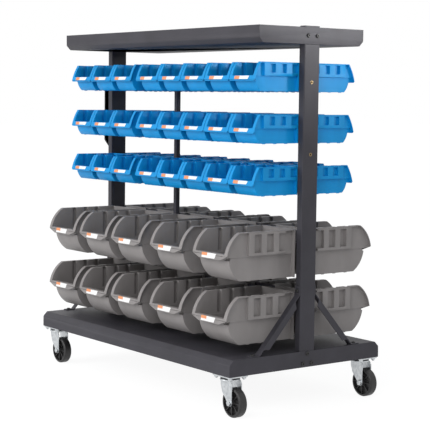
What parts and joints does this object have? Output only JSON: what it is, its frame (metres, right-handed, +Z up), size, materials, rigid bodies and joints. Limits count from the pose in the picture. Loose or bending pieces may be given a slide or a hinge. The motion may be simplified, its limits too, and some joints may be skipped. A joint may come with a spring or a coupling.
{
  "type": "rolling bin rack",
  "caption": "Double-sided rolling rack: steel end posts between a base platform and a top tray, hooked plastic bins in rows on both sides, swivel casters and a push handle.",
  "frame": {"origin": "on the floor under the middle of the base platform", "axes": "+X along the rack towards the end without the handle, -Y towards the front bins, +Z up"},
  "size_m": [0.9675, 0.5, 0.971],
  "materials": {
    "frame_paint": "charcoal powder coat, fine texture",
    "blue_plastic": "moulded azure polypropylene, satin",
    "grey_plastic": "moulded grey polypropylene, satin",
    "zinc": "bright zinc plate",
    "black_steel": "black oxide",
    "brass": "plain brass",
    "wheel_black": "hard black rubber"
  },
  "bodies": {
    "rack": {"base_platform": "frame_paint", "top_tray": "frame_paint", "left_post": "frame_paint", "right_post": "frame_paint", "middle_post": "frame_paint", "caster_channel_left": "frame_paint", "caster_channel_right": "frame_paint", "blue_rail_top": "frame_paint", "blue_rail_middle": "frame_paint", "blue_rail_bottom": "frame_paint", "grey_rail_upper": "frame_paint", "grey_rail_lower": "frame_paint", "left_braces": "frame_paint", "right_braces": "frame_paint", "push_handle": "frame_paint", "rivet_nuts": "brass", "frame_bolts": "black_steel", "rail_screws": "zinc", "caster_plates": "zinc", "caster_kingpins": "zinc", "caster_bolts": "zinc"},
    "caster_front_left": {"caster_fork_front_left": "zinc", "caster_axle_front_left": "zinc"},
    "wheel_front_left": {"caster_wheel_front_left": "wheel_black"},
    "caster_front_right": {"caster_fork_front_right": "zinc", "caster_axle_front_right": "zinc"},
    "wheel_front_right": {"caster_wheel_front_right": "wheel_black"},
    "caster_rear_left": {"caster_fork_rear_left": "zinc", "caster_axle_rear_left": "zinc"},
    "wheel_rear_left": {"caster_wheel_rear_left": "wheel_black"},
    "caster_rear_right": {"caster_fork_rear_right": "zinc", "caster_axle_rear_right": "zinc"},
    "wheel_rear_right": {"caster_wheel_rear_right": "wheel_black"},
    "grey_front_upper_1": {"grey_bin_front_upper_1": "grey_plastic"},
    "grey_front_upper_2": {"grey_bin_front_upper_2": "grey_plastic"},
    "grey_front_upper_3": {"grey_bin_front_upper_3": "grey_plastic"},
    "grey_front_upper_4": {"grey_bin_front_upper_4": "grey_plastic"},
    "grey_front_upper_5": {"grey_bin_front_upper_5": "grey_plastic"},
    "grey_front_lower_1": {"grey_bin_front_lower_1": "grey_plastic"},
    "grey_front_lower_2": {"grey_bin_front_lower_2": "grey_plastic"},
    "grey_front_lower_3": {"grey_bin_front_lower_3": "grey_plastic"},
    "grey_front_lower_4": {"grey_bin_front_lower_4": "grey_plastic"},
    "grey_front_lower_5": {"grey_bin_front_lower_5": "grey_plastic"},
    "blue_front_top": {"blue_bins_front_top": "blue_plastic"},
    "blue_front_middle": {"blue_bins_front_middle": "blue_plastic"},
    "blue_front_bottom": {"blue_bins_front_bottom": "blue_plastic"},
    "grey_rear_upper_1": {"grey_bin_rear_upper_1": "grey_plastic"},
    "grey_rear_upper_2": {"grey_bin_rear_upper_2": "grey_plastic"},
    "grey_rear_upper_3": {"grey_bin_rear_upper_3": "grey_plastic"},
    "grey_rear_upper_4": {"grey_bin_rear_upper_4": "grey_plastic"},
    "grey_rear_upper_5": {"grey_bin_rear_upper_5": "grey_plastic"},
    "grey_rear_lower_1": {"grey_bin_rear_lower_1": "grey_plastic"},
    "grey_rear_lower_2": {"grey_bin_rear_lower_2": "grey_plastic"},
    "grey_rear_lower_3": {"grey_bin_rear_lower_3": "grey_plastic"},
    "grey_rear_lower_4": {"grey_bin_rear_lower_4": "grey_plastic"},
    "grey_rear_lower_5": {"grey_bin_rear_lower_5": "grey_plastic"},
    "blue_rear_top": {"blue_bins_rear_top": "blue_plastic"},
    "blue_rear_middle": {"blue_bins_rear_middle": "blue_plastic"},
    "blue_rear_bottom": {"blue_bins_rear_bottom": "blue_plastic"}
  },
  "joints": [
    {"name": "front_left_swivel", "type": "hinge", "parent": "rack", "child": "caster_front_left", "pos_m": [-0.42, -0.219, 0.093], "axis": [0, 0, 1], "continuous": true},
    {"name": "front_left_roll", "type": "hinge", "parent": "caster_front_left", "child": "wheel_front_left", "pos_m": [-0.4, -0.219, 0.0375], "axis": [0, 1, 0], "continuous": true},
    {"name": "front_right_swivel", "type": "hinge", "parent": "rack", "child": "caster_front_right", "pos_m": [0.42, -0.219, 0.093], "axis": [0, 0, 1], "continuous": true},
    {"name": "front_right_roll", "type": "hinge", "parent": "caster_front_right", "child": "wheel_front_right", "pos_m": [0.44, -0.219, 0.0375], "axis": [0, 1, 0], "continuous": true},
    {"name": "rear_left_swivel", "type": "hinge", "parent": "rack", "child": "caster_rear_left", "pos_m": [-0.42, 0.219, 0.093], "axis": [0, 0, 1], "continuous": true},
    {"name": "rear_left_roll", "type": "hinge", "parent": "caster_rear_left", "child": "wheel_rear_left", "pos_m": [-0.4, 0.219, 0.0375], "axis": [0, 1, 0], "continuous": true},
    {"name": "rear_right_swivel", "type": "hinge", "parent": "rack", "child": "caster_rear_right", "pos_m": [0.42, 0.219, 0.093], "axis": [0, 0, 1], "continuous": true},
    {"name": "rear_right_roll", "type": "hinge", "parent": "caster_rear_right", "child": "wheel_rear_right", "pos_m": [0.44, 0.219, 0.0375], "axis": [0, 1, 0], "continuous": true},
    {"name": "grey_front_upper_1_lift", "type": "slide", "parent": "rack", "child": "grey_front_upper_1", "axis": [0, 0, 1], "range_m": [0, 0.03]},
    {"name": "grey_front_upper_2_lift", "type": "slide", "parent": "rack", "child": "grey_front_upper_2", "axis": [0, 0, 1], "range_m": [0, 0.03]},
    {"name": "grey_front_upper_3_lift", "type": "slide", "parent": "rack", "child": "grey_front_upper_3", "axis": [0, 0, 1], "range_m": [0, 0.03]},
    {"name": "grey_front_upper_4_lift", "type": "slide", "parent": "rack", "child": "grey_front_upper_4", "axis": [0, 0, 1], "range_m": [0, 0.03]},
    {"name": "grey_front_upper_5_lift", "type": "slide", "parent": "rack", "child": "grey_front_upper_5", "axis": [0, 0, 1], "range_m": [0, 0.03]},
    {"name": "grey_front_lower_1_lift", "type": "slide", "parent": "rack", "child": "grey_front_lower_1", "axis": [0, 0, 1], "range_m": [0, 0.03]},
    {"name": "grey_front_lower_2_lift", "type": "slide", "parent": "rack", "child": "grey_front_lower_2", "axis": [0, 0, 1], "range_m": [0, 0.03]},
    {"name": "grey_front_lower_3_lift", "type": "slide", "parent": "rack", "child": "grey_front_lower_3", "axis": [0, 0, 1], "range_m": [0, 0.03]},
    {"name": "grey_front_lower_4_lift", "type": "slide", "parent": "rack", "child": "grey_front_lower_4", "axis": [0, 0, 1], "range_m": [0, 0.03]},
    {"name": "grey_front_lower_5_lift", "type": "slide", "parent": "rack", "child": "grey_front_lower_5", "axis": [0, 0, 1], "range_m": [0, 0.03]},
    {"name": "blue_front_top_lift", "type": "slide", "parent": "rack", "child": "blue_front_top", "axis": [0, 0, 1], "range_m": [0, 0.04]},
    {"name": "blue_front_middle_lift", "type": "slide", "parent": "rack", "child": "blue_front_middle", "axis": [0, 0, 1], "range_m": [0, 0.04]},
    {"name": "blue_front_bottom_lift", "type": "slide", "parent": "rack", "child": "blue_front_bottom", "axis": [0, 0, 1], "range_m": [0, 0.04]},
    {"name": "grey_rear_upper_1_lift", "type": "slide", "parent": "rack", "child": "grey_rear_upper_1", "axis": [0, 0, 1], "range_m": [0, 0.03]},
    {"name": "grey_rear_upper_2_lift", "type": "slide", "parent": "rack", "child": "grey_rear_upper_2", "axis": [0, 0, 1], "range_m": [0, 0.03]},
    {"name": "grey_rear_upper_3_lift", "type": "slide", "parent": "rack", "child": "grey_rear_upper_3", "axis": [0, 0, 1], "range_m": [0, 0.03]},
    {"name": "grey_rear_upper_4_lift", "type": "slide", "parent": "rack", "child": "grey_rear_upper_4", "axis": [0, 0, 1], "range_m": [0, 0.03]},
    {"name": "grey_rear_upper_5_lift", "type": "slide", "parent": "rack", "child": "grey_rear_upper_5", "axis": [0, 0, 1], "range_m": [0, 0.03]},
    {"name": "grey_rear_lower_1_lift", "type": "slide", "parent": "rack", "child": "grey_rear_lower_1", "axis": [0, 0, 1], "range_m": [0, 0.03]},
    {"name": "grey_rear_lower_2_lift", "type": "slide", "parent": "rack", "child": "grey_rear_lower_2", "axis": [0, 0, 1], "range_m": [0, 0.03]},
    {"name": "grey_rear_lower_3_lift", "type": "slide", "parent": "rack", "child": "grey_rear_lower_3", "axis": [0, 0, 1], "range_m": [0, 0.03]},
    {"name": "grey_rear_lower_4_lift", "type": "slide", "parent": "rack", "child": "grey_rear_lower_4", "axis": [0, 0, 1], "range_m": [0, 0.03]},
    {"name": "grey_rear_lower_5_lift", "type": "slide", "parent": "rack", "child": "grey_rear_lower_5", "axis": [0, 0, 1], "range_m": [0, 0.03]},
    {"name": "blue_rear_top_lift", "type": "slide", "parent": "rack", "child": "blue_rear_top", "axis": [0, 0, 1], "range_m": [0, 0.04]},
    {"name": "blue_rear_middle_lift", "type": "slide", "parent": "rack", "child": "blue_rear_middle", "axis": [0, 0, 1], "range_m": [0, 0.04]},
    {"name": "blue_rear_bottom_lift", "type": "slide", "parent": "rack", "child": "blue_rear_bottom", "axis": [0, 0, 1], "range_m": [0, 0.04]}
  ]
}
